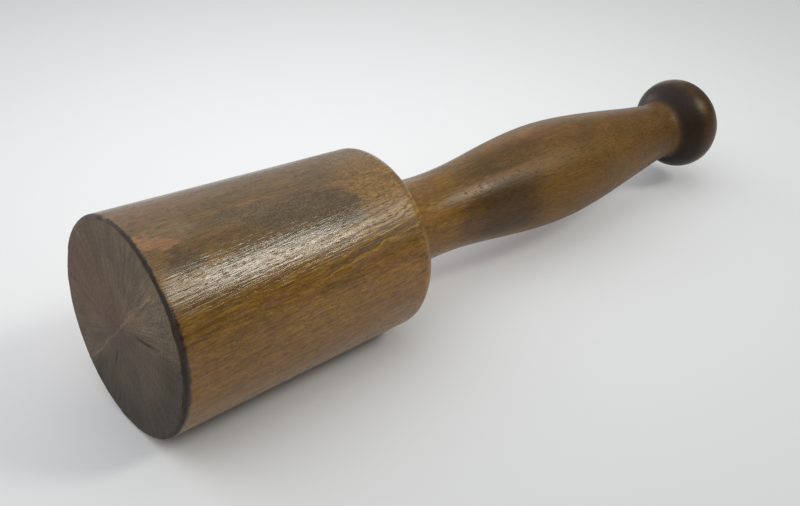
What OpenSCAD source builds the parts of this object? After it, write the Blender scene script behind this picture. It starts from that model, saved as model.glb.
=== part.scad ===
// Sculptor's round mallet, lying on the side of its head as in the photograph.
// A turned hardwood head is bored from the neck side, and the turned handle is held in that
// blind socket by a wedge that the socket's bottom drives into the tenon's saw kerf.
// Each piece is drawn upright on its own axis, with the striking end at z = 0, and is then
// laid down on the floor, z = 0, with the handle pointing along +X.

/* [Head] */
// Diameter of the striking end, where the side would meet it without its rounded rim
face_d = 70; // [62:1:84]
// Diameter of the head where its rounded shoulder starts
back_d = 62; // [52:1:62]
// Length of the straight side, from the striking end to the shoulder
side_len = 91.2; // [82:0.1:120]
// Radius of the rounded rim of the striking end
rim_round = 1.2; // [0.6:0.1:4]
// Length of the rounded shoulder, from the side to the handle's seat
shoulder_len = 8.4; // [5:0.1:14]
// Part of a quarter turn that the shoulder's curve has made at the seat, in degrees
shoulder_sweep = 73; // [60:1:88]
// Width of the flat ring left round the foot of the neck
seat_margin = 0.4; // [0.2:0.1:2]

/* [Hidden joint] */
// Diameter of the round tenon on the handle
tenon_d = 22; // [16:0.5:26]
// Length of the tenon
tenon_len = 60; // [45:1:68]
// Gap all round between the tenon and its socket, filled by glue
glue_gap = 0.1; // [0.05:0.01:0.3]
// Space left between the tenon's end and the bottom of the socket
end_gap = 1.5; // [0.5:0.1:3]
// Width of the saw kerf in the tenon
kerf_w = 1.6; // [1:0.1:2.4]
// Length of the saw kerf, from the tenon's end
kerf_len = 38; // [36:1:44]
// Thickness of the wedge at the tenon's end
wedge_t = 3.6; // [2.8:0.1:5]
// Length of the wedge inside the kerf
wedge_len = 33; // [20:1:35]
// Space between each edge of the wedge and the tenon's own surface
wedge_edge_gap = 1; // [0.5:0.1:3]

/* [Handle] */
// Diameter of the neck at the head
root_d = 32; // [29:0.5:38]
// Narrowing of the neck's radius at the head, for each unit of length
root_taper = 0.13; // [0.05:0.01:0.2]
// Smallest diameter of the neck
neck_d = 29; // [24:0.5:29]
// Distance from the head to the thinnest place of the neck
neck_at = 19.5; // [14:0.5:30]
// Diameter of the swell that fills the palm
swell_d = 38; // [32:0.5:44]
// Distance from the head to the middle of the swell
swell_at = 74.5; // [60:0.5:90]
// Diameter of the waist in front of the knob
waist_d = 22; // [18:0.5:28]
// Narrowing of the radius where the waist meets the cove, for each unit of length
waist_taper = 0.1; // [0:0.01:0.15]

/* [Knob] */
// Diameter of the knob
knob_d = 36; // [32:0.5:46]
// Radius of the knob's rounded edge, half its thickness
knob_round = 11.4; // [9:0.1:14]
// Distance from the head to the middle of the knob
knob_at = 154.4; // [135:0.1:180]
// Radius of the cove between the waist and the knob
cove_round = 4; // [2:0.5:6]

/* [Hidden] */

$fn = 96;
// Stained wood of the head and the handle, and bare wood of the hidden wedge
head_colour = [0.50, 0.37, 0.20];
handle_colour = [0.44, 0.31, 0.17];
wedge_colour = [0.72, 0.58, 0.38];

// Steps along a long turned curve, and along a quarter of a small round
curve_steps = 14;
round_steps = 10;
// A cut runs this far past the surface it opens
overcut = 1;

face_r = face_d / 2;
back_r = back_d / 2;
root_r = root_d / 2;
neck_r = neck_d / 2;
swell_r = swell_d / 2;
waist_r = waist_d / 2;
tenon_r = tenon_d / 2;

// Angle between the head's side and its axis
side_angle = atan((face_r - back_r) / side_len);
head_len = side_len + shoulder_len;
seat_r = root_r + seat_margin;

// The rim's round touches the flat end and the sloping side
rim_r = face_r - rim_round * tan(side_angle) - rim_round / cos(side_angle);

// Half axes of the shoulder's elliptical curve
shoulder_rise = shoulder_len / sin(shoulder_sweep);
shoulder_reach = (back_r - seat_r) / (1 - cos(shoulder_sweep));

// The wedge spreads each half of the tenon, and the socket is undercut by as much
spread = (wedge_t - kerf_w) / 2;
tenon_end = head_len - tenon_len;
kerf_top = tenon_end + kerf_len;
socket_bottom = tenon_end - end_gap;
flare_slope = spread / kerf_len;

// Places along the handle, from the striking end
neck_z = head_len + neck_at;
swell_z = head_len + swell_at;
knob_z = head_len + knob_at;

// Middle of the round that makes the knob's edge
knob_r = knob_d / 2 - knob_round;

// The cove touches the waist's slope and the knob's round
waist_angle = atan(waist_taper);
cove_r = waist_r + cove_round * cos(waist_angle);
cove_z = knob_z - sqrt(pow(knob_round + cove_round, 2) - pow(cove_r - knob_r, 2));
waist_z = cove_z - cove_round * sin(waist_angle);
cove_end_angle = atan2(knob_z - cove_z, knob_r - cove_r);

// The mallet lies on the sloping side of its head, its bounding box centred on the origin
lie_z = face_r * cos(side_angle);
low_x = rim_round * cos(side_angle) - rim_r * sin(side_angle) - rim_round;
high_x = knob_z * cos(side_angle) + knob_r * sin(side_angle) + knob_round;
lie_x = -(low_x + high_x) / 2;

// Points [radius, z] along an elliptical arc, with angles measured from the radial direction
function arc_points(centre, radius_r, radius_z, from, to, steps) =
    [for (i = [0:steps])
        let (angle = from + (to - from) * i / steps)
        [centre[0] + radius_r * cos(angle), centre[1] + radius_z * sin(angle)]];

// Height of a smooth curve that leaves y0 and reaches y1 with the given slopes
function smooth(y0, y1, slope0, slope1, span, t) =
    y0 * (1 - 3 * t * t + 2 * t * t * t)
    + y1 * (3 * t * t - 2 * t * t * t)
    + span * (slope0 * (t - 2 * t * t + t * t * t) + slope1 * (t * t * t - t * t));

// Points [radius, z] along a smooth turned curve, without its first one
function curve_points(start, end, slope0, slope1) =
    [for (i = [1:curve_steps])
        let (t = i / curve_steps)
        [smooth(start[0], end[0], slope0, slope1, end[1] - start[1], t),
         start[1] + (end[1] - start[1]) * t]];

// Radius of the tenon at a height in its flared length, before any gap is added
function flare_r(z) = tenon_r + (kerf_top - z) * flare_slope;

// Half the width of the kerf, as the wedge has opened it, at a height
function kerf_half(z) = kerf_w / 2 + (kerf_top - z) * flare_slope;

// Lays a piece down from its upright axis to its place on the floor
module lay_down() {
    translate([lie_x, 0, lie_z])
        rotate([0, 90 + side_angle, 0])
            children();
}

module head_outline() {
    polygon(concat(
        [[0, 0]],
        arc_points([rim_r, rim_round], rim_round, rim_round, -90, side_angle, round_steps),
        arc_points([back_r - shoulder_reach, side_len], shoulder_reach, shoulder_rise,
                   0, shoulder_sweep, curve_steps),
        [[tenon_r + glue_gap, head_len],
         [tenon_r + glue_gap, kerf_top],
         [flare_r(socket_bottom) + glue_gap, socket_bottom],
         [0, socket_bottom]]));
}

module head() {
    color(head_colour)
        lay_down()
            rotate_extrude()
                head_outline();
}

module handle_outline() {
    root = [root_r, head_len];
    neck = [neck_r, neck_z];
    swell = [swell_r, swell_z];
    waist = [waist_r, waist_z];
    polygon(concat(
        [[0, tenon_end],
         [flare_r(tenon_end), tenon_end],
         [tenon_r, kerf_top],
         [tenon_r, head_len],
         root],
        curve_points(root, neck, -root_taper, 0),
        curve_points(neck, swell, 0, 0),
        curve_points(swell, waist, 0, -waist_taper),
        arc_points([cove_r, cove_z], cove_round, cove_round,
                   180 + waist_angle, cove_end_angle, round_steps),
        arc_points([knob_r, knob_z], knob_round, knob_round,
                   cove_end_angle - 180, 90, 2 * round_steps),
        [[0, knob_z + knob_round]]));
}

// Outline [across, z] of the kerf, which runs out through the tenon's end
module kerf_outline() {
    mouth = tenon_end - overcut;
    polygon([
        [-kerf_half(kerf_top), kerf_top],
        [kerf_half(kerf_top), kerf_top],
        [kerf_half(mouth), mouth],
        [-kerf_half(mouth), mouth]]);
}

// Stands an outline [across, z] upright and gives it a width, centred on the axis
module upright_slab(width) {
    rotate([90, 0, 0])
        linear_extrude(height = width, center = true)
            children();
}

module handle() {
    color(handle_colour)
        lay_down()
            difference() {
                rotate_extrude()
                    handle_outline();
                upright_slab(tenon_d + 2 * spread + 2 * overcut)
                    kerf_outline();
            }
}

// The wedge fills the kerf's mouth and bears on the bottom of the socket
module fox_wedge() {
    tip = tenon_end + wedge_len;
    color(wedge_colour)
        lay_down()
            upright_slab(tenon_d - 2 * wedge_edge_gap)
                polygon([
                    [-kerf_half(tip), tip],
                    [kerf_half(tip), tip],
                    [kerf_half(socket_bottom), socket_bottom],
                    [-kerf_half(socket_bottom), socket_bottom]]);
}

head();
handle();
fox_wedge();
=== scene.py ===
from math import atan, atan2, cos, degrees, pi, radians, sin, sqrt, tan
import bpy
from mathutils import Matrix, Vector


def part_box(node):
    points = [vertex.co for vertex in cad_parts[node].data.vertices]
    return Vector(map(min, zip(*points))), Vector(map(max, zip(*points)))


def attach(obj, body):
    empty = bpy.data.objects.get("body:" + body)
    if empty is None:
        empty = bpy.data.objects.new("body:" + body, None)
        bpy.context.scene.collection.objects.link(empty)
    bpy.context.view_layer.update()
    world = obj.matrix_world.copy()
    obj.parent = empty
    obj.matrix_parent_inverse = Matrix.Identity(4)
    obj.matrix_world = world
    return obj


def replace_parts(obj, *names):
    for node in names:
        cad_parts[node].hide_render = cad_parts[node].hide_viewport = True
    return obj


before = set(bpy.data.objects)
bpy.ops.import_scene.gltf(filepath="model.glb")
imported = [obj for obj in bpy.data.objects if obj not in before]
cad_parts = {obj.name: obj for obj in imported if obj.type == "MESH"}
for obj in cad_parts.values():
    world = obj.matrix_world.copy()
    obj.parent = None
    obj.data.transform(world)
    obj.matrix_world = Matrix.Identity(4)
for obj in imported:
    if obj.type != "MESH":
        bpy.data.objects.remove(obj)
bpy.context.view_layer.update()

from types import SimpleNamespace

import bpy
import numpy as np
from mathutils import Vector, noise

MM = 0.001

# Head, in millimetres from the striking end along the mallet's axis
FACE_RADIUS = 35.0
BACK_RADIUS = 31.0
SIDE_LENGTH = 91.2
RIM_ROUND = 1.2
SHOULDER_LENGTH = 8.4
SHOULDER_SWEEP = radians(73)
SEAT_MARGIN = 0.4

# Hidden joint
TENON_RADIUS = 11.0
TENON_LENGTH = 60.0
GLUE_GAP = 0.1
END_GAP = 1.5
KERF_WIDTH = 1.6
KERF_LENGTH = 38.0
WEDGE_THICKNESS = 3.6

# Handle and knob, measured from the back of the head
ROOT_RADIUS = 16.0
ROOT_TAPER = 0.13
NECK_RADIUS = 14.5
NECK_AT = 19.5
SWELL_RADIUS = 19.0
SWELL_AT = 74.5
WAIST_RADIUS = 11.0
WAIST_TAPER = 0.1
KNOB_RADIUS = 18.0
KNOB_ROUND = 11.4
KNOB_AT = 154.4
COVE_ROUND = 4.0

# The head lies on its sloping side, so the mallet's axis is tilted by the side's own slope
SIDE_ANGLE = atan((FACE_RADIUS - BACK_RADIUS) / SIDE_LENGTH)
HEAD_LENGTH = SIDE_LENGTH + SHOULDER_LENGTH
KNOB_CENTRE = HEAD_LENGTH + KNOB_AT
TENON_END = HEAD_LENGTH - TENON_LENGTH
KERF_TOP = TENON_END + KERF_LENGTH
RIM_RADIUS = FACE_RADIUS - RIM_ROUND * tan(SIDE_ANGLE) - RIM_ROUND / cos(SIDE_ANGLE)
AXIS = Vector((cos(SIDE_ANGLE), 0, -sin(SIDE_ANGLE)))
RISE = Vector((sin(SIDE_ANGLE), 0, cos(SIDE_ANGLE)))
NEAR = Vector((0, -1, 0))

# The turned meshes: points along and round, and the angle from which an edge stays sharp
FACE_STEPS = 68
RIM_STEPS = 12
SIDE_STEPS = 90
SHOULDER_STEPS = 40
NECK_STEPS = 24
SWELL_STEPS = 50
WAIST_STEPS = 60
COVE_STEPS = 12
KNOB_STEPS = 48
KNOB_END_STEPS = 12
HEAD_SEGMENTS = 720
HANDLE_SEGMENTS = 360
CREASE = radians(40)
# How far they stay inside the solids, and how uneven they are, in mm
SKIN = 0.02
HEAD_UNEVEN = 0.09
FACE_UNEVEN = 0.10
FACE_FINE = 0.03
RIM_WEAR = 0.16
RIM_WEAR_LENGTH = 3.2
HANDLE_UNEVEN = 0.16
HANDLE_EASE = 12


def face_centre():
    """Middle of the striking end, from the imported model's own box."""
    low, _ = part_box("head")
    rim_reach = RIM_ROUND * (cos(SIDE_ANGLE) - 1) - RIM_RADIUS * sin(SIDE_ANGLE)
    return Vector((low[0] - rim_reach * MM, 0, FACE_RADIUS * cos(SIDE_ANGLE) * MM))


FACE_CENTRE = face_centre()


def arc(centre, radius_r, radius_s, start, end, steps):
    """Points (s, r) along an elliptical arc, with angles measured from the radial direction."""
    angles = [start + (end - start) * i / steps for i in range(steps + 1)]
    return [(centre[0] + radius_s * sin(a), centre[1] + radius_r * cos(a)) for a in angles]


def line(start, end, steps):
    """Points (s, r) along a straight line, without its first one."""
    return [
        tuple(a + (b - a) * i / steps for a, b in zip(start, end)) for i in range(1, steps + 1)
    ]


def curve(start, end, slope0, slope1, steps):
    """Points (s, r) along a smooth turned curve, without its first one."""
    span = end[0] - start[0]
    points = []
    for i in range(1, steps + 1):
        t = i / steps
        ease = t * t * (3 - 2 * t)
        bend = slope0 * t * (1 - t) ** 2 - slope1 * t * t * (1 - t)
        points.append((start[0] + span * t, start[1] + (end[1] - start[1]) * ease + span * bend))
    return points


def flare(s):
    """Radius of the tenon at s, where the wedge has spread it."""
    return TENON_RADIUS + (KERF_TOP - s) * (WEDGE_THICKNESS - KERF_WIDTH) / 2 / KERF_LENGTH


def head_outline():
    """Points (s, r) from the middle of the striking end, over the head and down its socket."""
    reach = (BACK_RADIUS - ROOT_RADIUS - SEAT_MARGIN) / (1 - cos(SHOULDER_SWEEP))
    rise = SHOULDER_LENGTH / sin(SHOULDER_SWEEP)
    bottom = TENON_END - END_GAP
    rim = arc((RIM_ROUND, RIM_RADIUS), RIM_ROUND, RIM_ROUND, -pi / 2, SIDE_ANGLE, RIM_STEPS)
    centre = (SIDE_LENGTH, BACK_RADIUS - reach)
    shoulder = arc(centre, reach, rise, 0, SHOULDER_SWEEP, SHOULDER_STEPS)
    mouth = (HEAD_LENGTH, TENON_RADIUS + GLUE_GAP)
    flare_start = (KERF_TOP, TENON_RADIUS + GLUE_GAP)
    flare_end = (bottom, flare(bottom) + GLUE_GAP)
    return (
        [(0, 0)]
        + line((0, 0), rim[0], FACE_STEPS)
        + rim[1:]
        + line(rim[-1], shoulder[0], SIDE_STEPS)
        + shoulder[1:]
        + line(shoulder[-1], mouth, 3)
        + line(mouth, flare_start, 4)
        + line(flare_start, flare_end, 4)
        + line(flare_end, (bottom, 0), 3)
    )


def handle_outline():
    """Points (s, r) from the tenon's end to the middle of the knob's end."""
    root = (HEAD_LENGTH, ROOT_RADIUS)
    neck = (HEAD_LENGTH + NECK_AT, NECK_RADIUS)
    swell = (HEAD_LENGTH + SWELL_AT, SWELL_RADIUS)
    knob_ring = KNOB_RADIUS - KNOB_ROUND
    lean = atan(WAIST_TAPER)
    cove_ring = WAIST_RADIUS + COVE_ROUND * cos(lean)
    cove_s = KNOB_CENTRE - sqrt((KNOB_ROUND + COVE_ROUND) ** 2 - (cove_ring - knob_ring) ** 2)
    waist = (cove_s - COVE_ROUND * sin(lean), WAIST_RADIUS)
    meet = atan2(KNOB_CENTRE - cove_s, knob_ring - cove_ring)
    cove = arc((cove_s, cove_ring), COVE_ROUND, COVE_ROUND, pi + lean, meet, COVE_STEPS)
    centre = (KNOB_CENTRE, knob_ring)
    knob = arc(centre, KNOB_ROUND, KNOB_ROUND, meet - pi, pi / 2, KNOB_STEPS)
    tenon_corner = (TENON_END, flare(TENON_END))
    tenon_foot = (KERF_TOP, TENON_RADIUS)
    return (
        [(TENON_END, 0)]
        + line((TENON_END, 0), tenon_corner, 6)
        + line(tenon_corner, tenon_foot, 6)
        + line(tenon_foot, (HEAD_LENGTH, TENON_RADIUS), 3)
        + line((HEAD_LENGTH, TENON_RADIUS), root, 4)
        + curve(root, neck, -ROOT_TAPER, 0, NECK_STEPS)
        + curve(neck, swell, 0, 0, SWELL_STEPS)
        + curve(swell, waist, 0, -WAIST_TAPER, WAIST_STEPS)
        + cove[1:]
        + knob[1:]
        + line(knob[-1], (knob[-1][0], 0), KNOB_END_STEPS)
    )


def turned_points(outline, angles, sink):
    """The outline turned round the axis, each point pushed inwards by sink(s, r, angle) mm."""
    points = np.array(outline)
    ring = points[1:-1]
    tangent = np.gradient(ring, axis=0)
    normal = np.stack([-tangent[:, 1], tangent[:, 0]], 1)
    normal /= np.linalg.norm(normal, axis=1)[:, None]
    places = [tuple(points[0]) + (0.0,)]
    for (s, r), (normal_s, normal_r) in zip(ring, normal):
        for angle in angles:
            depth = sink(s, r, angle)
            places.append((s - depth * normal_s, r - depth * normal_r, angle))
    places.append(tuple(points[-1]) + (0.0,))
    return [
        FACE_CENTRE + (AXIS * s + (RISE * cos(a) + NEAR * sin(a)) * r) * MM for s, r, a in places
    ]


def turned_faces(rings, segments):
    """Faces of a closed turned mesh: rings of points between its first and last point."""
    faces = []
    last = rings * segments + 1
    for j in range(segments):
        k = (j + 1) % segments
        faces.append((0, 1 + k, 1 + j))
        for i in range(rings - 1):
            low, high = 1 + i * segments, 1 + (i + 1) * segments
            faces.append((low + j, low + k, high + k, high + j))
        top = 1 + (rings - 1) * segments
        faces.append((top + j, top + k, last))
    return faces


def smooth(mesh):
    mesh.polygons.foreach_set("use_smooth", [True] * len(mesh.polygons))
    mesh.set_sharp_from_angle(angle=CREASE)


def revolve(name, outline, angles, sink):
    """A closed turned mesh round the mallet's axis."""
    vertices = turned_points(outline, angles, sink)
    faces = turned_faces(len(outline) - 2, len(angles))
    mesh = bpy.data.meshes.new(name)
    mesh.from_pydata([tuple(v) for v in vertices], [], faces)
    mesh.validate()
    mesh.update()
    piece = bpy.data.objects.new(name, mesh)
    bpy.context.collection.objects.link(piece)
    smooth(mesh)
    return piece


def waviness(s, r, angle, reach, round_reach, seed):
    """A smooth random number from 0 to 1 on the turned surface."""
    round_place = r / round_reach
    place = Vector((s / reach, round_place * cos(angle) + seed, round_place * sin(angle)))
    return min(1.0, max(0.0, 0.5 + 0.75 * noise.noise(place)))


# Knocks on the rim of the striking end: degrees round, width and length in mm, depth in mm
RIM_KNOCKS = (
    (64, 3.2, 2.4, 0.28),
    (83, 1.6, 1.6, 0.22),
    (101, 4.0, 2.0, 0.30),
    (31, 2.4, 1.8, 0.20),
    (-12, 3.0, 2.2, 0.26),
    (-75, 4.2, 2.6, 0.34),
    (142, 2.8, 2.0, 0.25),
    (196, 3.6, 2.2, 0.30),
    (231, 2.2, 1.6, 0.24),
)
# Drying checks in the striking end: degrees round, start and end from the axis, half width, depth
FACE_CHECKS = (
    (79.4, 9.5, 21.5, 0.19, 0.55),
    (202.0, 12.0, 18.0, 0.13, 0.35),
)
# Extra points on each side of a check, over so many half widths at its inner end
CHECK_STEPS = 14
CHECK_REACH = 2.6


def bump(x):
    """1 at 0, falling smoothly to 0 at 1 and beyond."""
    return (1 - x * x) ** 2 if x * x < 1 else 0.0


def arc_between(angle, turned, r):
    """Signed arc length at radius r from a place given in degrees round."""
    return radians((degrees(angle) - turned + 180) % 360 - 180) * r


def check_depth(r, angle, check):
    """Depth of a drying check, V-shaped across and tapered to both ends."""
    turned, start, end, half, depth = check
    off = arc_between(angle, turned, r)
    along = (r - (start + end) / 2) / ((end - start) / 2)
    taper = bump(along)
    return depth * taper * max(0.0, 1 - abs(off) / (half * (0.35 + 0.65 * taper)))


def head_sink(s, r, angle):
    """Handwork, wear and knocks on the head. Every point ends just inside the true outline."""
    in_joint = s > HEAD_LENGTH - 0.01 or r < 11.5 and s > 1
    if in_joint:
        return SKIN
    on_face = s < 1e-6
    if on_face:
        depth = SKIN + FACE_UNEVEN * waviness(s, r, angle, reach=5, round_reach=9, seed=8.0)
        depth += FACE_FINE * waviness(s, r, angle, reach=5, round_reach=1.6, seed=5.0)
        return depth + sum(check_depth(r, angle, check) for check in FACE_CHECKS)
    depth = SKIN + HEAD_UNEVEN * waviness(s, r, angle, reach=34, round_reach=11, seed=3.0)
    rim = bump(s / RIM_WEAR_LENGTH) if r > 20 else 0.0
    if rim:
        wear = waviness(s, r, angle, reach=9, round_reach=3.2, seed=12.0)
        depth += rim * RIM_WEAR * wear ** 2
        for turned, width, length, deep in RIM_KNOCKS:
            away = arc_between(angle, turned, r)
            depth += deep * bump(away / width) * bump(s / length)
    return depth


def handle_sink(s, r, angle):
    """The handle is smoothed by hand, so it is a little uneven all over."""
    if s < HEAD_LENGTH + 0.3:
        return SKIN
    ease = min(1.0, (s - HEAD_LENGTH) / HANDLE_EASE)
    wave = waviness(s, r, angle, reach=26, round_reach=9, seed=21.0)
    return SKIN + ease * HANDLE_UNEVEN * wave


def round_steps(segments, checks=()):
    """Angles of a turned mesh, closer together where a check has to be cut."""
    angles = {round(2 * pi * i / segments, 6) for i in range(segments)}
    for turned, start, _, half, _ in checks:
        reach = CHECK_REACH * half / start
        for i in range(-CHECK_STEPS, CHECK_STEPS + 1):
            angles.add(round(radians(turned) + reach * i / CHECK_STEPS, 6))
    return sorted(angle % (2 * pi) for angle in angles)


def make_head():
    angles = round_steps(HEAD_SEGMENTS, FACE_CHECKS)
    head = revolve("mallet_head", head_outline(), angles, head_sink)
    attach(head, "root")
    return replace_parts(head, "head")


def kerf_cutter():
    """The saw kerf in the tenon, as the wedge has opened it, drawn past the tenon's sides."""
    mouth = TENON_END - 2.0
    wide = TENON_RADIUS + 4.0
    slope = (WEDGE_THICKNESS - KERF_WIDTH) / 2 / KERF_LENGTH
    corners = []
    for s in (mouth, KERF_TOP):
        half = KERF_WIDTH / 2 + (KERF_TOP - s) * slope
        for up, out in ((-half, -wide), (half, -wide), (half, wide), (-half, wide)):
            corners.append(tuple(FACE_CENTRE + (AXIS * s + RISE * up + NEAR * out) * MM))
    mesh = bpy.data.meshes.new("kerf_cutter")
    sides = [(0, 1, 2, 3), (7, 6, 5, 4), (0, 4, 5, 1), (1, 5, 6, 2), (2, 6, 7, 3), (3, 7, 4, 0)]
    mesh.from_pydata(corners, [], sides)
    cutter = bpy.data.objects.new("kerf_cutter", mesh)
    bpy.context.collection.objects.link(cutter)
    bpy.context.view_layer.update()
    return cutter


def cut(piece, cutter):
    """Cuts one mesh out of another for good, and removes the cutter."""
    modifier = piece.modifiers.new("cut", "BOOLEAN")
    modifier.operation = "DIFFERENCE"
    modifier.solver = "EXACT"
    modifier.object = cutter
    depsgraph = bpy.context.evaluated_depsgraph_get()
    solid = bpy.data.meshes.new_from_object(piece.evaluated_get(depsgraph))
    piece.modifiers.clear()
    piece.data = solid
    bpy.data.objects.remove(cutter)


def make_handle():
    angles = round_steps(HANDLE_SEGMENTS)
    handle = revolve("mallet_handle", handle_outline(), angles, handle_sink)
    cut(handle, kerf_cutter())
    smooth(handle.data)
    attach(handle, "root")
    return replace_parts(handle, "handle")


# Floor, light and camera
CAMERA_AT = Vector((-0.25284, -0.27240, 0.23867))
CAMERA_AZIMUTH = radians(-39.784)
CAMERA_ELEVATION = radians(31.757)
SENSOR_WIDTH = 36.0
FOCAL_LENGTH = 54.0
FLOOR_HALF = 6.0
# The floor's painted pool of light: its middle and reach, and the tones within and beyond it
FLOOR_MIDDLE = (-0.01, 0.095, 0)
FLOOR_REACH = 0.42
FLOOR_BRIGHT = (0.87, 0.87, 0.885, 1)
FLOOR_DIM = (0.50, 0.505, 0.51, 1)
FLOOR_ROUGHNESS = 0.8
FLOOR_SPECULAR = 0.2
ROOM_BRIGHT_SIDE = (-0.45, 0.35, 0.82)
ROOM_EDGE = -0.3
ROOM_DIM = 0.05
ROOM_BRIGHT = 1.17
ROOM_TINT = (0.98, 0.99, 1.0, 1)
BACKDROP = 0.42
LIGHT_AIM = Vector((-0.03, 0, 0.03))
# Soft boxes: azimuth clockwise from +Y, elevation, distance, width, height, power and tint
SOFT_BOXES = {
    "key_box": (150, 70, 1.0, 0.7, 0.7, 0.5, (1.0, 0.995, 0.985)),
    "side_box": (134.5, 41.0, 1.4, 0.30, 0.36, 5.8, (0.98, 0.995, 0.90)),
    "back_box": (-18, 12, 1.5, 1.1, 0.4, 6.0, (1, 1, 1)),
    "far_box": (49, 5.5, 1.5, 0.56, 0.27, 0.9, (1, 1, 1)),
}


def make_camera():
    data = bpy.data.cameras.new("photo_camera")
    data.sensor_width = SENSOR_WIDTH
    data.lens = FOCAL_LENGTH
    camera = bpy.data.objects.new("photo_camera", data)
    camera.location = CAMERA_AT
    camera.rotation_euler = (pi / 2 - CAMERA_ELEVATION, 0, CAMERA_AZIMUTH)
    bpy.context.collection.objects.link(camera)
    bpy.context.scene.camera = camera


def area_light(name, azimuth, elevation, distance, width, height, power, tint):
    """A soft box that stands in the given direction from the aim and faces it."""
    a, e = radians(azimuth), radians(elevation)
    away = Vector((sin(a) * cos(e), cos(a) * cos(e), sin(e)))
    data = bpy.data.lights.new(name, "AREA")
    data.shape = "RECTANGLE"
    data.size = width
    data.size_y = height
    data.energy = power
    data.color = tint
    light = bpy.data.objects.new(name, data)
    light.location = LIGHT_AIM + away * distance
    light.rotation_euler = away.to_track_quat("Z", "Y").to_euler()
    bpy.context.collection.objects.link(light)


def floor_material():
    """A painted pool of light: pale round a middle just behind the mallet, and dimmer away from
    it.
    """
    material = bpy.data.materials.new("pale_floor")
    material.use_nodes = True
    tree = material.node_tree
    shader = tree.nodes["Principled BSDF"]
    coords = tree.nodes.new("ShaderNodeTexCoord")
    away = tree.nodes.new("ShaderNodeVectorMath")
    away.operation = "DISTANCE"
    away.inputs[1].default_value = FLOOR_MIDDLE
    tree.links.new(coords.outputs["Object"], away.inputs[0])
    fade = tree.nodes.new("ShaderNodeMapRange")
    fade.interpolation_type = "SMOOTHSTEP"
    fade.inputs["From Min"].default_value = 0.0
    fade.inputs["From Max"].default_value = FLOOR_REACH
    tree.links.new(away.outputs["Value"], fade.inputs["Value"])
    mix = tree.nodes.new("ShaderNodeMix")
    mix.data_type = "RGBA"
    mix.inputs["A"].default_value = FLOOR_BRIGHT
    mix.inputs["B"].default_value = FLOOR_DIM
    tree.links.new(fade.outputs["Result"], mix.inputs["Factor"])
    tree.links.new(mix.outputs["Result"], shader.inputs["Base Color"])
    shader.inputs["Roughness"].default_value = FLOOR_ROUGHNESS
    shader.inputs["Specular IOR Level"].default_value = FLOOR_SPECULAR
    return material


def make_floor():
    mesh = bpy.data.meshes.new("studio_floor")
    half = FLOOR_HALF
    corners = [(-half, -half, 0), (half, -half, 0), (half, half, 0), (-half, half, 0)]
    mesh.from_pydata(corners, [], [(0, 1, 2, 3)])
    floor = bpy.data.objects.new("studio_floor", mesh)
    bpy.context.collection.objects.link(floor)
    mesh.materials.append(floor_material())


def make_world():
    """A room that is brightest overhead, beyond the striking end, and dim below."""
    world = bpy.data.worlds.new("studio")
    world.use_nodes = True
    tree = world.node_tree
    background = tree.nodes["Background"]
    coords = tree.nodes.new("ShaderNodeTexCoord")
    towards = tree.nodes.new("ShaderNodeVectorMath")
    towards.operation = "DOT_PRODUCT"
    towards.inputs[1].default_value = ROOM_BRIGHT_SIDE
    tree.links.new(coords.outputs["Generated"], towards.inputs[0])
    ramp = tree.nodes.new("ShaderNodeMapRange")
    ramp.inputs["From Min"].default_value = ROOM_EDGE
    ramp.inputs["From Max"].default_value = 1.0
    ramp.inputs["To Min"].default_value = ROOM_DIM
    ramp.inputs["To Max"].default_value = ROOM_BRIGHT
    tree.links.new(towards.outputs["Value"], ramp.inputs["Value"])
    background.inputs["Color"].default_value = ROOM_TINT
    # The camera itself sees the room in one pale tone
    path = tree.nodes.new("ShaderNodeLightPath")
    seen = tree.nodes.new("ShaderNodeMix")
    tree.links.new(path.outputs["Is Camera Ray"], seen.inputs["Factor"])
    tree.links.new(ramp.outputs["Result"], seen.inputs["A"])
    seen.inputs["B"].default_value = BACKDROP
    tree.links.new(seen.outputs["Result"], background.inputs["Strength"])
    bpy.context.scene.world = world


def make_lights():
    make_world()
    for name, box in SOFT_BOXES.items():
        area_light(name, *box)
    bpy.context.scene.view_settings.view_transform = "Standard"


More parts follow.
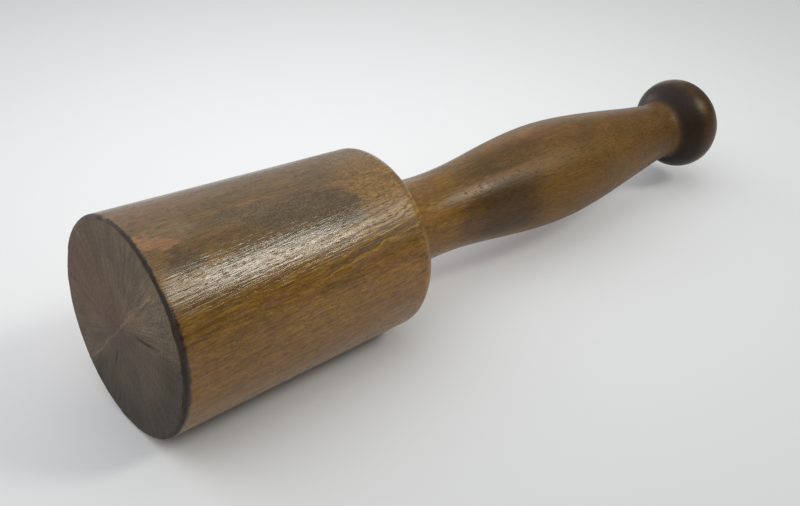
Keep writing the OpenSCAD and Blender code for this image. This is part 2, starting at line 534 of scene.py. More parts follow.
class Nodes:
    """Short calls that add the nodes of one material. Lengths are in millimetres."""

    def __init__(self, name, spiral=0.0):
        self.material = bpy.data.materials.new(name)
        self.material.use_nodes = True
        self.tree = self.material.node_tree
        self.shader = self.tree.nodes["Principled BSDF"]
        here = self.add("ShaderNodeTexCoord", {}, "Object")
        here = self.vector("SUBTRACT", here, FACE_CENTRE)
        self.s = self.dot(here, AXIS / MM)
        self.v = self.dot(here, NEAR / MM)
        self.u = self.dot(here, RISE / MM)
        across = self.add("ShaderNodeCombineXYZ", {0: self.v, 1: self.u}, 0)
        self.r = self.add("ShaderNodeVectorMath", {0: across}, "Value", operation="LENGTH")
        self.turn = self.math("DEGREES", self.math("ARCTAN2", self.v, self.u))
        # The fibres wind slowly round the axis, by so many degrees in each millimetre
        place = self.add("ShaderNodeCombineXYZ", {0: self.s, 1: self.v, 2: self.u}, 0)
        wind = self.math("MULTIPLY", self.s, -radians(spiral))
        turned = {"Vector": place, "Angle": wind}
        self.place = self.add("ShaderNodeVectorRotate", turned, 0, rotation_type="X_AXIS")

    def add(self, kind, inputs, output, **settings):
        node = self.tree.nodes.new(kind)
        for name, value in settings.items():
            setattr(node, name, value)
        for key, value in inputs.items():
            self.feed(node.inputs[key], value)
        return node.outputs[output]

    def feed(self, socket, value):
        """Links an output to the socket, or sets the socket's own value."""
        if isinstance(value, bpy.types.NodeSocket):
            self.tree.links.new(value, socket)
        else:
            socket.default_value = value

    def math(self, operation, a, b=0.0, c=0.0):
        return self.add("ShaderNodeMath", {0: a, 1: b, 2: c}, 0, operation=operation)

    def product(self, *values):
        result = values[0]
        for value in values[1:]:
            result = self.math("MULTIPLY", result, value)
        return result

    def total(self, *values):
        result = values[0]
        for value in values[1:]:
            result = self.math("ADD", result, value)
        return result

    def vector(self, operation, a, b):
        return self.add("ShaderNodeVectorMath", {0: a, 1: b}, 0, operation=operation)

    def dot(self, a, b):
        return self.add("ShaderNodeVectorMath", {0: a, 1: b}, "Value", operation="DOT_PRODUCT")

    def fade(self, value, start, end, low=0.0, high=1.0):
        """low up to start, high from end on, and a smooth step between them."""
        inputs = {"Value": value, 1: start, 2: end, 3: low, 4: high}
        return self.add("ShaderNodeMapRange", inputs, 0, interpolation_type="SMOOTHSTEP")

    def between(self, value, start, rise, fall, end):
        """0 up to start and from end on, and 1 between rise and fall."""
        return self.product(self.fade(value, start, rise), self.fade(value, end, fall))

    def band(self, value, middle, outer, inner):
        """1 within inner of the middle, fading out to 0 at outer."""
        off = self.math("ABSOLUTE", self.math("SUBTRACT", value, middle))
        return self.fade(off, outer, inner)

    def factor(self, mask, amount):
        """1 outside a mask and 1 + amount inside it."""
        return self.math("MULTIPLY_ADD", mask, amount, 1.0)

    def swing(self, wave, amount, middle=1.0):
        """The middle value, moved by a noise value's distance from 0.5 times the amount."""
        return self.math("MULTIPLY_ADD", self.math("SUBTRACT", wave, 0.5), amount, middle)

    def spread(self, wave, amount):
        """A noise value turned into a factor round 1, amount being its usual swing."""
        return self.math("MULTIPLY_ADD", wave, 4.0 * amount, 1.0 - 2.0 * amount)

    def scaled(self, lengths, shift=(0, 0, 0)):
        """The place divided by a pattern's size along the axis, across and up."""
        shrink = tuple(1 / length for length in lengths)
        inputs = {0: self.place, 1: shrink, 2: shift}
        return self.add("ShaderNodeVectorMath", inputs, 0, operation="MULTIPLY_ADD")

    def noise(self, place, detail, roughness, output=0):
        inputs = {"Vector": place, "Scale": 1.0, "Detail": detail, "Roughness": roughness}
        return self.add("ShaderNodeTexNoise", inputs, output)

    def pattern(self, lengths, shift=(0, 0, 0), detail=2.0, roughness=0.6):
        """Noise of the given size along the axis, across and up."""
        return self.noise(self.scaled(lengths, shift), detail, roughness)

    def spots(self, place, size, share, soft):
        """1 on scattered spots of the given size, in a share of all cells."""
        cell = {"Vector": place, "Scale": 1.0, "Randomness": 1.0}
        near = self.add("ShaderNodeTexVoronoi", cell, "Distance")
        tint = self.add("ShaderNodeTexVoronoi", cell, "Color")
        chosen = self.math("LESS_THAN", self.add("ShaderNodeSeparateColor", {0: tint}, 0), share)
        return self.math("MULTIPLY", self.fade(near, size, size * soft), chosen)

    def bend(self, lengths, shift=(0, 0, 0)):
        """Three slow waves round 0, to bend other patterns with."""
        wave = self.noise(self.scaled(lengths, shift), 2.0, 0.5, "Color")
        wave = self.vector("SUBTRACT", wave, (0.5, 0.5, 0.5))
        return self.add("ShaderNodeSeparateXYZ", {0: wave}, 0).node.outputs

    def mix(self, factor, a, b, blend="MIX"):
        inputs = {0: factor, 6: a, 7: b}
        return self.add("ShaderNodeMix", inputs, 2, data_type="RGBA", blend_type=blend)

    def shade(self, tone, amount):
        """The tone made lighter or darker by a factor."""
        return self.add("ShaderNodeVectorMath", {0: tone, 3: amount}, 0, operation="SCALE")

    def oval(self, place, centre, reach, tilt=0.0):
        """How far out of an oval on the turned surface a point is: 1 on its edge. Centre and
        reach are (mm along, degrees round); tilt is degrees round for each mm along."""
        along = self.math("SUBTRACT", place[0], centre[0])
        about = self.math("SUBTRACT", place[1], centre[1])
        about = self.math("MULTIPLY_ADD", along, -tilt, about)
        along = self.math("DIVIDE", along, reach[0])
        about = self.math("DIVIDE", about, reach[1])
        square = self.math("MULTIPLY_ADD", about, about, self.math("MULTIPLY", along, along))
        return self.math("SQRT", square)

    def patch(self, place, centre, reach, soft, tilt=0.0):
        """1 inside an oval on the turned surface, fading out over its edge."""
        return self.fade(self.oval(place, centre, reach, tilt), 1 + soft, 1 - soft)

    def paint(self, place, base, marks):
        """Lays patches over the base one by one: centre, reach, softness, tone and share."""
        for centre, reach, soft, tone, share in marks:
            spot = self.product(self.patch(place, centre, reach, soft), share)
            base = self.mix(spot, base, tone)
        return base

    def surface(self, base, rough, specular, height, depth):
        """Feeds the shader, depth being the full height of the relief, and ends the material."""
        relief = {"Height": height, "Distance": depth * MM, "Strength": 1.0}
        inputs = self.shader.inputs
        self.feed(inputs["Base Color"], base)
        self.feed(inputs["Roughness"], rough)
        self.feed(inputs["Normal"], self.add("ShaderNodeBump", relief, 0))
        inputs["Specular IOR Level"].default_value = specular
        return self.material


def colour(red, green, blue):
    return (red, green, blue, 1.0)


# Stained wood and its tints
BLACK_BROWN = colour(0.022, 0.012, 0.007)
DARK = colour(0.058, 0.032, 0.013)
UMBER = colour(0.105, 0.054, 0.017)
BROWN = colour(0.165, 0.078, 0.013)
TAN = colour(0.222, 0.112, 0.022)
GOLD = colour(0.280, 0.150, 0.020)
YELLOW = colour(0.350, 0.215, 0.060)
ORANGE = colour(0.300, 0.130, 0.040)
RUST = colour(0.255, 0.122, 0.055)
OLIVE = colour(0.135, 0.084, 0.024)
# Painted sheen: the grey laid on the head's upper side
PAINTED_SHEEN_GREY = colour(0.125, 0.092, 0.055)
ROSE = colour(0.235, 0.115, 0.062)
UMBER_ORANGE = colour(0.200, 0.098, 0.018)
WARM = colour(0.225, 0.105, 0.035)
TONGUE_DARK = colour(0.092, 0.059, 0.029)
TONGUE_PALE = colour(0.170, 0.110, 0.054)
MIST = colour(0.225, 0.150, 0.074)
BRICK = colour(0.340, 0.160, 0.072)
SLATE = colour(0.085, 0.060, 0.036)
RIM_STAIN = colour(0.020, 0.010, 0.005)
HANDLE_STAIN = colour(0.128, 0.066, 0.023)
LOWER_SHADE_TINT = colour(1.0, 0.93, 0.64)

# The striking end
ASH = colour(0.088, 0.058, 0.034)
PALE_ASH = colour(0.112, 0.076, 0.045)
FACE_RED = colour(0.092, 0.047, 0.026)
FACE_GREEN = colour(0.052, 0.041, 0.025)
FACE_ROSE = colour(0.125, 0.068, 0.045)
PITH_RED = colour(0.066, 0.027, 0.018)
CHALK = colour(0.24, 0.19, 0.11)
FRINGE = colour(0.22, 0.16, 0.09)
RAY = colour(0.22, 0.16, 0.105)
RAY_GLOW = colour(0.215, 0.130, 0.050)

# Bare wood in the joint
BARE_WOOD = colour(0.42, 0.29, 0.15)
SAWN_DARK = colour(0.40, 0.27, 0.13)
SAWN_PALE = colour(0.56, 0.41, 0.22)

# Winding of the fibres in degrees for each mm, and the growth rings' width in mm
HEAD_SPIRAL = 0.11
HANDLE_SPIRAL = 0.08
RING_WIDTH = 1.9

# Specular levels, and the full height of the reliefs in mm
HEAD_SPECULAR = 0.46
HANDLE_SPECULAR = 0.20
WEDGE_SPECULAR = 0.3
HEAD_RELIEF = 0.082
HANDLE_RELIEF = 0.06
WEDGE_RELIEF = 0.04


def growth_rings(n, wave):
    """The dark late wood of each ring, and a random number for each ring."""
    ring = n.math("DIVIDE", n.math("MULTIPLY_ADD", wave, 7.0, n.r), RING_WIDTH)
    late = n.between(n.math("FRACT", ring), 0.30, 0.95, 0.96, 1.0)
    number = {"W": n.math("FLOOR", ring)}
    return late, n.add("ShaderNodeTexWhiteNoise", number, 0, noise_dimensions="1D")


def stained_wood(n, bend, pore_depth, fleck_depth):
    """Colour, light, height and gloss patterns that all the stained wood shares."""
    fibre = n.pattern((14, 0.30, 0.30))
    fleck = n.pattern((2.4, 0.42, 0.42), (5, 2, 8))
    thread = n.pattern((60, 0.62, 0.62), (4, 1, 2))
    streak = n.pattern((46, 1.5, 1.5), (1, 7, 3), 3.0, 0.55)
    blotch = n.pattern((16, 6, 6), (3, 1, 7), 3.0, 0.55)
    hue = n.pattern((15, 4.5, 4.5), (9, 4, 2), 2.0, 0.5)
    pores = n.spots(n.scaled((3.4, 0.36, 0.36)), 0.36, 0.35, 0.5)
    # The rings are cut into long figures where the surface runs along them
    late, tint = growth_rings(n, bend[2])

    tone = n.total(n.product(streak, 0.5), n.product(fleck, 0.25), n.product(thread, 0.25))
    base = n.mix(n.fade(tone, 0.38, 0.62), BROWN, TAN)
    base = n.mix(n.product(n.fade(tint, 0.5, 1.0), n.fade(thread, 0.4, 0.6), 0.5), base, GOLD)
    base = n.mix(n.product(late, 0.28), base, UMBER)
    base = n.mix(n.fade(hue, 0.50, 0.72, 0.0, 0.5), base, ROSE)
    base = n.mix(n.fade(hue, 0.48, 0.28, 0.0, 0.3), base, OLIVE)
    light = n.product(
        n.spread(fibre, 0.20),
        n.spread(fleck, 0.22),
        n.spread(blotch, 0.08),
        n.spread(thread, 0.12),
        n.factor(pores, -0.5),
    )
    height = n.total(
        n.product(fibre, 0.62),
        n.product(fleck, fleck_depth),
        n.product(thread, 0.9),
        n.product(streak, 0.9),
    )
    height = n.math("SUBTRACT", height, n.product(pores, pore_depth))
    gloss = n.total(n.product(fleck, 0.19), n.product(thread, 0.15), n.product(pores, 0.25))
    return base, light, height, gloss


def head_light(n, at, light, top, speckle, grain):
    """Light and dark on the head: sandy on top, mottled below it, with a few placed patches, among
    them painted shade above the highlight and a painted highlight on the shoulder.
    """
    turn = at[1]
    mottles = n.pattern((1.9, 0.75, 0.75), (6, 3, 9))
    clouds = n.pattern((3.6, 2.0, 2.0), (8, 8, 2))
    side = n.fade(turn, 54, 72, 0.35, 1.0)
    front = n.product(n.fade(n.s, 60, 15), n.between(turn, 24, 30, 70, 100))
    # Painted shade above the highlight near the striking end, which dims its upper edge
    dull = n.product(n.between(turn, 21, 28, 37, 43), n.fade(n.s, 60, 44))
    return n.product(
        light,
        n.swing(speckle, n.product(top, 0.7)),
        n.fade(turn, 44, 24, 1.0, 0.95),
        n.factor(front, -0.12),
        n.swing(mottles, n.product(side, 0.75)),
        n.swing(grain, side),
        n.swing(clouds, 0.5),
        n.factor(dull, -0.18),
        n.fade(n.s, 64, 86, 1.0, 1.05),
        # Painted highlight where the highlight runs on over the shoulder
        n.factor(n.patch(at, (96, 40), (4, 15), 0.5), 0.30),
        n.factor(n.patch(at, (82, 9), (12, 8), 0.5), -0.12),
    )


def top_colours(n, at, base, top, speckle):
    """Painted sheen as grey on the upper side, a warm patch in front of the shoulder, olive and
    rose clouds.
    """
    # Painted sheen: the upper side is greyed where it catches the pale room
    base = n.mix(n.product(top, 0.52), base, PAINTED_SHEEN_GREY)
    warm = n.patch(at, (88, 22), (17, 26), 0.35)
    mottle = n.mix(n.fade(speckle, 0.42, 0.64), WARM, YELLOW)
    base = n.mix(n.product(warm, 0.62), base, mottle)
    olive = n.patch(at, (25, 8), (14, 12), 0.5)
    base = n.mix(n.product(olive, 0.6, n.fade(speckle, 0.7, 0.4)), base, OLIVE)
    rose = n.patch(at, (14, -5), (16, 12), 0.5)
    return n.mix(n.product(rose, 0.42), base, ROSE)


def dark_tongue(n, at, base, grain):
    """The speckled tongue of an inner ring, its red upper edge and a fainter ring outside."""
    s, turn = at
    ring = n.oval(at, (18, 33), (60, 20.5), -0.02)
    ahead = n.fade(s, 12, 36)
    tongue = n.product(n.fade(ring, 1.04, 0.97), ahead, n.fade(turn, 46, 42))
    tongue = n.product(tongue, n.fade(s, 73.4, 71.8))
    wood = n.mix(n.fade(grain, 0.40, 0.60), TONGUE_DARK, TONGUE_PALE)
    wood = n.shade(wood, n.fade(s, 44, 68, 1.04, 0.82))
    base = n.mix(n.product(tongue, 0.88), base, wood)
    edge = n.product(n.between(ring, 1.0, 1.05, 1.07, 1.13), ahead, n.fade(turn, 30, 22))
    base = n.mix(n.product(edge, 0.5, n.fade(s, 58, 44, 0.2, 1.0)), base, RUST)
    second = n.product(n.between(ring, 1.16, 1.25, 1.26, 1.32), ahead)
    return n.mix(n.product(second, 0.35, n.fade(turn, 40, 30)), base, UMBER)


# Marks next to the striking end, laid below and above the red patch and its dark line.
# Centre and reach (mm along, degrees round), softness, tone and share.
LOWER_END_MARKS = (
    ((23, 29), (13, 8), 0.4, UMBER_ORANGE, 0.5),
    ((26, 35), (17, 5), 0.4, GOLD, 0.35),
    ((11, 16), (9, 7), 0.5, MIST, 0.6),
)
UPPER_END_MARKS = (
    ((4, 35), (4.5, 9), 0.3, GOLD, 0.5),
    ((11, 36), (6.0, 5.5), 0.4, SLATE, 0.62),
)
# The red patch has two parts: centre, reach and tilt
RED_PARTS = (
    ((6.0, 22.5), (6.4, 3.2), 0.30),
    ((2.4, 17.0), (2.6, 3.2), 0.0),
)


def end_marks(n, at, base, speckle, grain):
    """Brown-orange, red and ochre patches near the striking end, streaked along the grain."""
    wave = n.pattern((5.0, 1.1, 1.1), (3, 8, 1), 3.0)
    torn = n.swing(wave, 15.0, at[1])
    place = (n.swing(speckle, 5.0, at[0]), torn)
    base = n.paint(place, base, LOWER_END_MARKS)
    worn = n.fade(grain, 0.25, 0.5, 0.6, 1.0)
    for centre, reach, tilt in RED_PARTS:
        red = n.product(n.patch(place, centre, reach, 0.4, tilt), worn)
        base = n.mix(n.product(red, 0.72), base, BRICK)
    middle = n.math("MULTIPLY_ADD", n.s, 0.25, 26.5)
    under = n.product(n.band(torn, middle, 2.1, 0.6), n.fade(n.s, 24, 12))
    base = n.mix(n.product(under, 0.55), base, UMBER)
    return n.paint(place, base, UPPER_END_MARKS)


# Middle and half width in degrees round, mm along where a line starts to show, tone and share
WINDING_LINES = (
    (54.0, 0.8, 20, UMBER, 0.40),
    (57.8, 0.9, 30, UMBER, 0.45),
    (60.8, 1.1, 30, YELLOW, 0.45),
    (63.2, 0.9, 20, UMBER, 0.55),
    (65.6, 1.2, 20, YELLOW, 0.40),
    (67.6, 0.8, 20, UMBER, 0.50),
    (69.8, 1.2, 30, YELLOW, 0.50),
    (72.6, 2.0, 30, UMBER, 0.60),
    (76.0, 1.0, 30, YELLOW, 0.55),
    (80.0, 2.4, 30, UMBER, 0.35),
)


def winding_lines(n, at, base):
    """Pale and dark lines through and under the highlight and over the shoulder, and a mask
    of the dark ones."""
    s, turn = at
    # They rise along the head, and faster from 80 mm on
    past = n.math("MAXIMUM", n.math("SUBTRACT", s, 80.0), 0.0)
    rise = n.math("MULTIPLY_ADD", s, 0.20, turn)
    rise = n.math("MULTIPLY_ADD", n.product(past, past), 0.02, rise)
    dark = 0.0
    for middle, width, start, tone, share in WINDING_LINES:
        off = n.band(rise, middle, width, width * 0.4)
        band = n.product(off, n.fade(n.s, start, 75, 0.15, 1.0), share)
        base = n.mix(band, base, tone)
        if tone is UMBER:
            dark = n.math("ADD", band, dark)
    return base, dark


def gathered_stain_and_crease_shade(n, base, wave, speckle):
    """Stain gathers in end grain: a little on the shoulder, and in a dark, ragged band on the
    rim of the striking end, which is narrow on top. The shoulder's edge against the handle is
    darker still, by stain and painted shade in the crease."""
    base = n.mix(n.product(n.fade(n.s, 92.0, 98.5), 0.22), base, UMBER)
    # Stain in the end grain and painted shade in the crease: darker still at the edge against the
    # handle
    base = n.mix(n.fade(n.s, 97.0, 98.8, 0.0, 0.6), base, DARK)
    ragged = n.math("MULTIPLY_ADD", wave, 1.6, n.s)
    about = n.math("ABSOLUTE", n.turn)
    wide = n.product(n.fade(about, 42, 62, 0.55, 1.08), n.fade(about, 100, 125, 1.0, 0.8))
    burr = n.math("DIVIDE", n.swing(speckle, 1.6, ragged), wide)
    return n.mix(n.product(n.fade(burr, 2.9, 1.5), 0.97), base, RIM_STAIN)


def head_roughness(n, gloss, flat_end, dark_lines):
    """Polished, but dull on the rim, the striking end, the shoulder and the dark lines."""
    rim = n.fade(n.s, 1.9, 0.9)
    return n.total(
        n.product(n.math("ADD", gloss, -0.005), n.math("SUBTRACT", 1.0, rim)),
        n.product(rim, n.math("SUBTRACT", 1.0, flat_end), 0.62),
        n.fade(n.s, 16, 3, 0.0, 0.05),
        n.product(flat_end, 0.70),
        n.fade(n.s, 60, 84, 0.0, 0.12),
        n.product(dark_lines, 0.30),
        n.fade(n.s, 91, 98, 0.0, 0.12),
        n.fade(n.s, 96.5, 98.5, 0.0, 0.28),
    )


def head_material():
    n = Nodes("head_wood", HEAD_SPIRAL)
    bend = n.bend((42, 13, 13))
    # Pores and flecks are shallower from the highlight down, or their edges would sparkle
    calm = n.fade(n.turn, 40, 54)
    pore_depth = n.math("MULTIPLY_ADD", calm, -0.40, 0.55)
    fleck_depth = n.math("MULTIPLY_ADD", calm, -0.25, 0.30)
    base, light, height, gloss = stained_wood(n, bend, pore_depth, fleck_depth)
    # Ragged coordinates give the figures their uneven edges
    rag = n.bend((7, 2.2, 2.2), (4, 4, 4))
    s = n.total(n.s, n.product(bend[0], 10.0), n.product(rag[0], 7.0))
    turn = n.total(n.turn, n.product(bend[1], 9.0), n.product(rag[1], 6.0))
    at = (s, turn)
    speckle = n.pattern((0.75, 0.5, 0.5), roughness=0.75)
    grain = n.pattern((0.42, 0.32, 0.32), (2, 6, 7), 1.0)

    # The upper side, which gets the painted sheen and the sandy speckles
    top = n.between(turn, -80, -45, 24, 44)
    light = head_light(n, at, light, top, speckle, grain)
    base = top_colours(n, at, base, top, speckle)
    base = dark_tongue(n, at, base, grain)
    base = end_marks(n, at, base, speckle, grain)
    # Painted shade: the near and lower side is made warmer and darker in blue
    base = n.mix(n.fade(turn, 62, 86, 0.0, 0.75), base, LOWER_SHADE_TINT, "MULTIPLY")
    base, dark_lines = winding_lines(n, at, base)
    base = gathered_stain_and_crease_shade(n, base, rag[2], speckle)

    face, face_light, face_height = end_grain(n)
    flat_end = n.fade(n.s, 0.32, 0.10)
    base = n.mix(flat_end, n.shade(base, light), n.shade(face, face_light))
    side_height = n.product(height, n.fade(n.s, 0.1, 0.32))
    height = n.total(side_height, n.product(face_height, flat_end))
    rough = head_roughness(n, gloss, flat_end, dark_lines)
    return n.surface(base, rough, HEAD_SPECULAR, height, HEAD_RELIEF)


# The pith in mm from the axis, towards the near side and up, and the pale ray's direction
PITH_V, PITH_U = -1.8, -0.9
RAY_V, RAY_U = 0.69, 0.72
# Dark bands along the checks: degrees round, start and end from the axis, and half width
CHECK_DARK_BANDS = (
    (79.4, 9.0, 23.0, 0.9),
    (202.0, 11.0, 18.5, 0.7),
)


def ray_noise(n, angle, out, around, outwards, roughness):
    """Noise on a cone round the pith, which draws it out into rays."""
    spin_v = n.product(n.math("SINE", angle), around)
    spin_u = n.product(n.math("COSINE", angle), around)
    place = {0: spin_v, 1: spin_u, 2: n.product(out, outwards)}
    return n.noise(n.add("ShaderNodeCombineXYZ", place, 0), 3.0, roughness)


def face_patterns(n):
    """Places and noises that the parts of the striking end share."""
    v = n.math("SUBTRACT", n.v, PITH_V)
    u = n.math("SUBTRACT", n.u, PITH_U)
    out = n.math("SQRT", n.math("MULTIPLY_ADD", v, v, n.math("MULTIPLY", u, u)))
    angle = n.math("ARCTAN2", v, u)
    return SimpleNamespace(
        v=v,
        u=u,
        out=out,
        # Distances along the pale ray from the pith, and to its side
        along=n.total(n.product(v, RAY_V), n.product(u, RAY_U)),
        side=n.math("SUBTRACT", n.product(v, RAY_U), n.product(u, RAY_V)),
        rays=ray_noise(n, angle, out, 24.0, 0.13, 0.65),
        fans=ray_noise(n, angle, out, 5.0, 0.05, 0.6),
        cloud=n.pattern((40, 9, 9), (2, 5, 1), 3.0, 0.55),
        stone=n.pattern((40, 0.5, 0.5), (6, 6, 6), 2.0, 0.7),
        waver=n.pattern((40, 6, 6), (8, 1, 5), 2.0, 0.5),
        mottle=n.pattern((40, 2.6, 2.6), (3, 7, 4), 3.0, 0.6),
    )


def face_colours(n, face):
    """Grey end grain, greenish below and red on the far side, with a red star at the pith."""
    v, u, out, stone = face.v, face.u, face.out, face.stone
    base = n.mix(n.fade(face.cloud, 0.35, 0.65), ASH, PALE_ASH)
    base = n.mix(n.product(n.fade(n.u, 4, -30), 0.75), base, FACE_GREEN)
    far = n.product(n.fade(n.v, 6, -24), n.between(n.u, -16, 4, 14, 34))
    base = n.mix(n.product(far, 0.7), base, FACE_RED)
    base = n.mix(n.fade(face.mottle, 0.50, 0.68, 0.0, 0.5), base, FACE_GREEN)
    base = n.mix(n.fade(face.mottle, 0.48, 0.30, 0.0, 0.4), base, FACE_ROSE)
    star = n.product(n.fade(out, 13, 2), n.fade(face.rays, 0.38, 0.58), n.fade(v, 6, -2, 0.4, 1.0))
    base = n.mix(n.product(star, 0.9), base, PITH_RED)
    chalk = n.product(n.fade(v, 9, 15), n.between(u, 2, 6, 20, 26), n.fade(stone, 0.50, 0.68))
    base = n.mix(n.product(chalk, 0.55), base, CHALK)
    fringe = n.product(n.fade(n.r, 27, 32), n.fade(n.u, 34, 20), n.fade(stone, 0.52, 0.70))
    fringe = n.product(fringe, n.fade(n.v, 0, 20, 0.4, 1.0))
    base = n.mix(n.product(fringe, 0.55), base, FRINGE)
    return n.mix(n.product(n.fade(out, 1.3, 0.4), 0.8), base, BLACK_BROWN)


def face_lightness(n, face, rings):
    """Light and dark fibres, and darker wood between the pale ray and the upper check, most
    of all near the rim."""
    fibres = n.swing(face.rays, n.fade(face.out, 2, 14, 0.3, 1.0), 0.5)
    above = n.math("MULTIPLY_ADD", face.v, -0.18, face.u)
    wedge = n.product(n.fade(face.side, -1, 4), n.fade(above, 4, -2))
    edge = n.product(n.fade(n.v, 20, 29), n.fade(n.u, 20, 10))
    return n.product(
        n.spread(fibres, 0.36),
        n.spread(face.fans, 0.20),
        n.spread(face.stone, 0.24),
        n.math("MULTIPLY_ADD", rings, -0.10, 1.04),
        n.spread(face.mottle, 0.16),
        n.factor(wedge, -0.25),
        n.factor(n.product(wedge, n.fade(face.out, 19, 30)), -0.36),
        n.factor(edge, -0.20),
    )


def pale_ray(n, face, base):
    """A pale ray across the pith, yellow on its upper part."""
    off = n.math("MULTIPLY_ADD", face.waver, 2.4, n.math("SUBTRACT", face.side, 1.2))
    ray = n.product(n.band(off, 0.0, 0.62, 0.12), n.between(face.along, -32, -27, 28, 33))
    grainy = n.math("ADD", face.stone, n.product(face.cloud, 0.6))
    broken = n.fade(grainy, 0.66, 0.90, 0.35, 1.0)
    strong = n.product(broken, n.fade(face.along, -8, 8, 0.32, 0.62))
    base = n.mix(n.product(ray, strong), base, RAY)
    glow = n.product(n.band(face.side, 1.5, 5.0, 1.0), n.between(face.along, 1, 6, 12, 22))
    return n.mix(n.product(glow, 0.62, n.fade(face.stone, 0.42, 0.62)), base, RAY_GLOW)


def darken_checks(n, base):
    """Darker along the drying checks."""
    for turned, start, end, width in CHECK_DARK_BANDS:
        a = radians(turned)
        side = n.math("SUBTRACT", n.product(n.v, cos(a)), n.product(n.u, sin(a)))
        along = n.total(n.product(n.v, sin(a)), n.product(n.u, cos(a)))
        reach = n.between(along, start - 1.5, start + 1, end - 5, end)
        check = n.product(n.band(side, 0.0, width, 0.15), reach)
        base = n.mix(n.product(check, 0.75), base, BLACK_BROWN)
    return base


def end_grain(n):
    """The striking end: rays from an off-centre pith, grey, rubbed and unpolished."""
    face = face_patterns(n)
    year = n.math("DIVIDE", n.math("MULTIPLY_ADD", face.waver, 3.0, face.out), RING_WIDTH)
    rings = n.between(n.math("FRACT", year), 0.2, 0.9, 0.94, 1.0)
    base = face_colours(n, face)
    light = face_lightness(n, face, rings)
    base = pale_ray(n, face, base)
    base = darken_checks(n, base)
    height = n.total(n.product(face.rays, 0.9), n.product(face.stone, 0.8), n.product(rings, 0.25))
    return base, light, height


# Centre and reach (mm along, degrees round), softness, tone and share
HANDLE_MARKS = (
    ((141, 84), (18, 42), 0.35, DARK, 0.85),
    ((104, 112), (6, 26), 0.5, DARK, 0.25),
    ((128, 20), (20, 26), 0.5, OLIVE, 0.45),
    ((110, 45), (7, 12), 0.5, GOLD, 0.25),
    ((124, 12.6), (4, 12), 0.5, GOLD, 0.3),
    ((179, 50), (17, 16), 0.5, GOLD, 0.16),
    ((197, 57), (10, 14), 0.5, GOLD, 0.10),
    ((163, 0), (16, 12), 0.5, ORANGE, 0.20),
    ((150, 20), (19, 24), 0.5, DARK, 0.48),
    # Painted highlight: a lighter line where the handle's highlight runs
    ((143, 41), (15, 5), 0.5, ORANGE, 0.30),
    # Painted shade that dims the highlight nearer the head
    ((122, 49), (9, 5), 0.5, UMBER, 0.40),
    ((111, 14), (7, 16), 0.5, ROSE, 0.30),
    ((111, 62), (6, 8), 0.5, ROSE, 0.25),
    ((200, 55), (40, 45), 0.5, BROWN, 0.35),
    ((129, 94), (4, 10), 0.5, ORANGE, 0.15),
    ((130, 74), (3, 8), 0.5, BROWN, 0.4),
    ((172, 82), (18, 20), 0.5, BROWN, 0.55),
)


def knob_stain_and_painted_highlights(n, at, base, wave, cloud):
    """The knob and its cove: stain gathers where the surface turns across the grain, and painted
    highlights lie in the cove and on the knob.
    """
    # Painted highlight: a pale rose ring in the cove
    cove = n.patch((n.s, n.r), (242.4, 12.6), (1.2, 2.0), 0.6)
    base = n.mix(n.product(cove, 0.30), base, ROSE)
    knob = n.fade(n.math("MULTIPLY_ADD", wave, 1.2, n.s), 240.7, 245.0)
    outer = n.product(n.fade(n.r, 13.5, 17.0), n.fade(n.s, 248, 253))
    wood = n.mix(n.product(outer, n.fade(cloud, 0.3, 0.7, 0.45, 0.9)), BLACK_BROWN, UMBER)
    wood = n.mix(n.product(n.fade(n.s, 256, 261), 0.45), wood, UMBER)
    base = n.mix(n.product(knob, 0.95), base, wood)
    # Painted highlight: a tan spot where the knob's highlight lies
    spot = n.patch(at, (253.8, 43), (2.2, 9), 0.6)
    return n.mix(n.product(spot, 0.35), base, TAN)


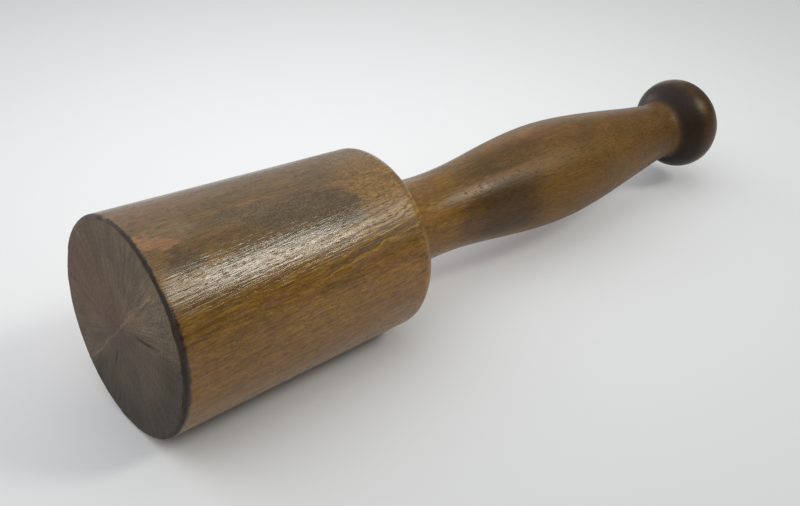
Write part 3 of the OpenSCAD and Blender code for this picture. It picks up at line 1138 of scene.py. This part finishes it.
def handle_material():
    n = Nodes("handle_wood", HANDLE_SPIRAL)
    bend = n.bend((38, 11, 11), (7, 3, 9))
    base, light, height, gloss = stained_wood(n, bend, 0.25, 0.30)
    rag = n.bend((6, 2.0, 2.0), (2, 9, 5))
    s = n.total(n.s, n.product(bend[0], 9.0), n.product(rag[0], 6.0))
    turn = n.total(n.turn, n.product(bend[1], 20.0), n.product(rag[1], 14.0))
    at = (s, turn)
    cloud = n.pattern((14, 8, 8), (1, 1, 4), 3.0, 0.55)
    stain = n.product(n.fade(cloud, 0.40, 0.62, 0.3, 0.85), n.fade(n.s, 112, 134, 0.35, 1.0))
    base = n.mix(stain, base, HANDLE_STAIN)
    base = n.paint(at, base, HANDLE_MARKS)
    base = knob_stain_and_painted_highlights(n, at, base, rag[2], cloud)
    # Hidden in the joint, the wood is bare
    bare = n.fade(n.s, HEAD_LENGTH - 0.4, HEAD_LENGTH - 1.4)
    base = n.mix(n.product(bare, 0.85), base, BARE_WOOD)
    # Light on the root, with painted shade against the head, and darker from the swell to the knob
    light = n.product(
        light,
        n.fade(n.s, 116, 130, 1.16, 1.0),
        n.fade(n.s, 100.5, 105.5, 0.70, 1.0),
        n.fade(n.s, 160, 188, 1.0, 0.87),
        n.fade(n.s, 212, 236, 1.0, 0.77),
    )
    worn = n.total(n.fade(n.s, 128, 160, 0.09, 0.26), n.fade(n.s, 238, 246, 0.0, -0.06))
    rough = n.math("ADD", gloss, worn)
    return n.surface(n.shade(base, light), rough, HANDLE_SPECULAR, height, HANDLE_RELIEF)


def wedge_material():
    """Bare sawn hardwood, with the saw's marks across it."""
    n = Nodes("wedge_wood")
    fibre = n.pattern((9, 0.22, 0.22), (3, 3, 3))
    streak = n.pattern((26, 1.3, 1.3), (8, 2, 5), 3.0, 0.55)
    pores = n.spots(n.scaled((1.8, 0.3, 0.3), (5, 5, 5)), 0.34, 0.4, 0.5)
    wobble = n.pattern((3, 9, 9), detail=1.0, roughness=0.5)
    saw = n.math("SINE", n.math("MULTIPLY_ADD", wobble, 3.0, n.product(n.s, 5.2)))
    base = n.mix(n.fade(streak, 0.3, 0.7), SAWN_DARK, SAWN_PALE)
    light = n.product(n.spread(fibre, 0.10), n.factor(pores, -0.4), n.factor(saw, 0.03))
    rough = n.total(n.product(fibre, 0.12), 0.62)
    height = n.total(n.product(saw, 0.3), n.product(fibre, 0.6), n.product(pores, -0.8))
    return n.surface(n.shade(base, light), rough, WEDGE_SPECULAR, height, WEDGE_RELIEF)


make_camera()
make_lights()
make_floor()
head = make_head()
handle = make_handle()
head.data.materials.append(head_material())
handle.data.materials.append(handle_material())
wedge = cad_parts["fox_wedge"]
wedge.data.materials.clear()
wedge.data.materials.append(wedge_material())
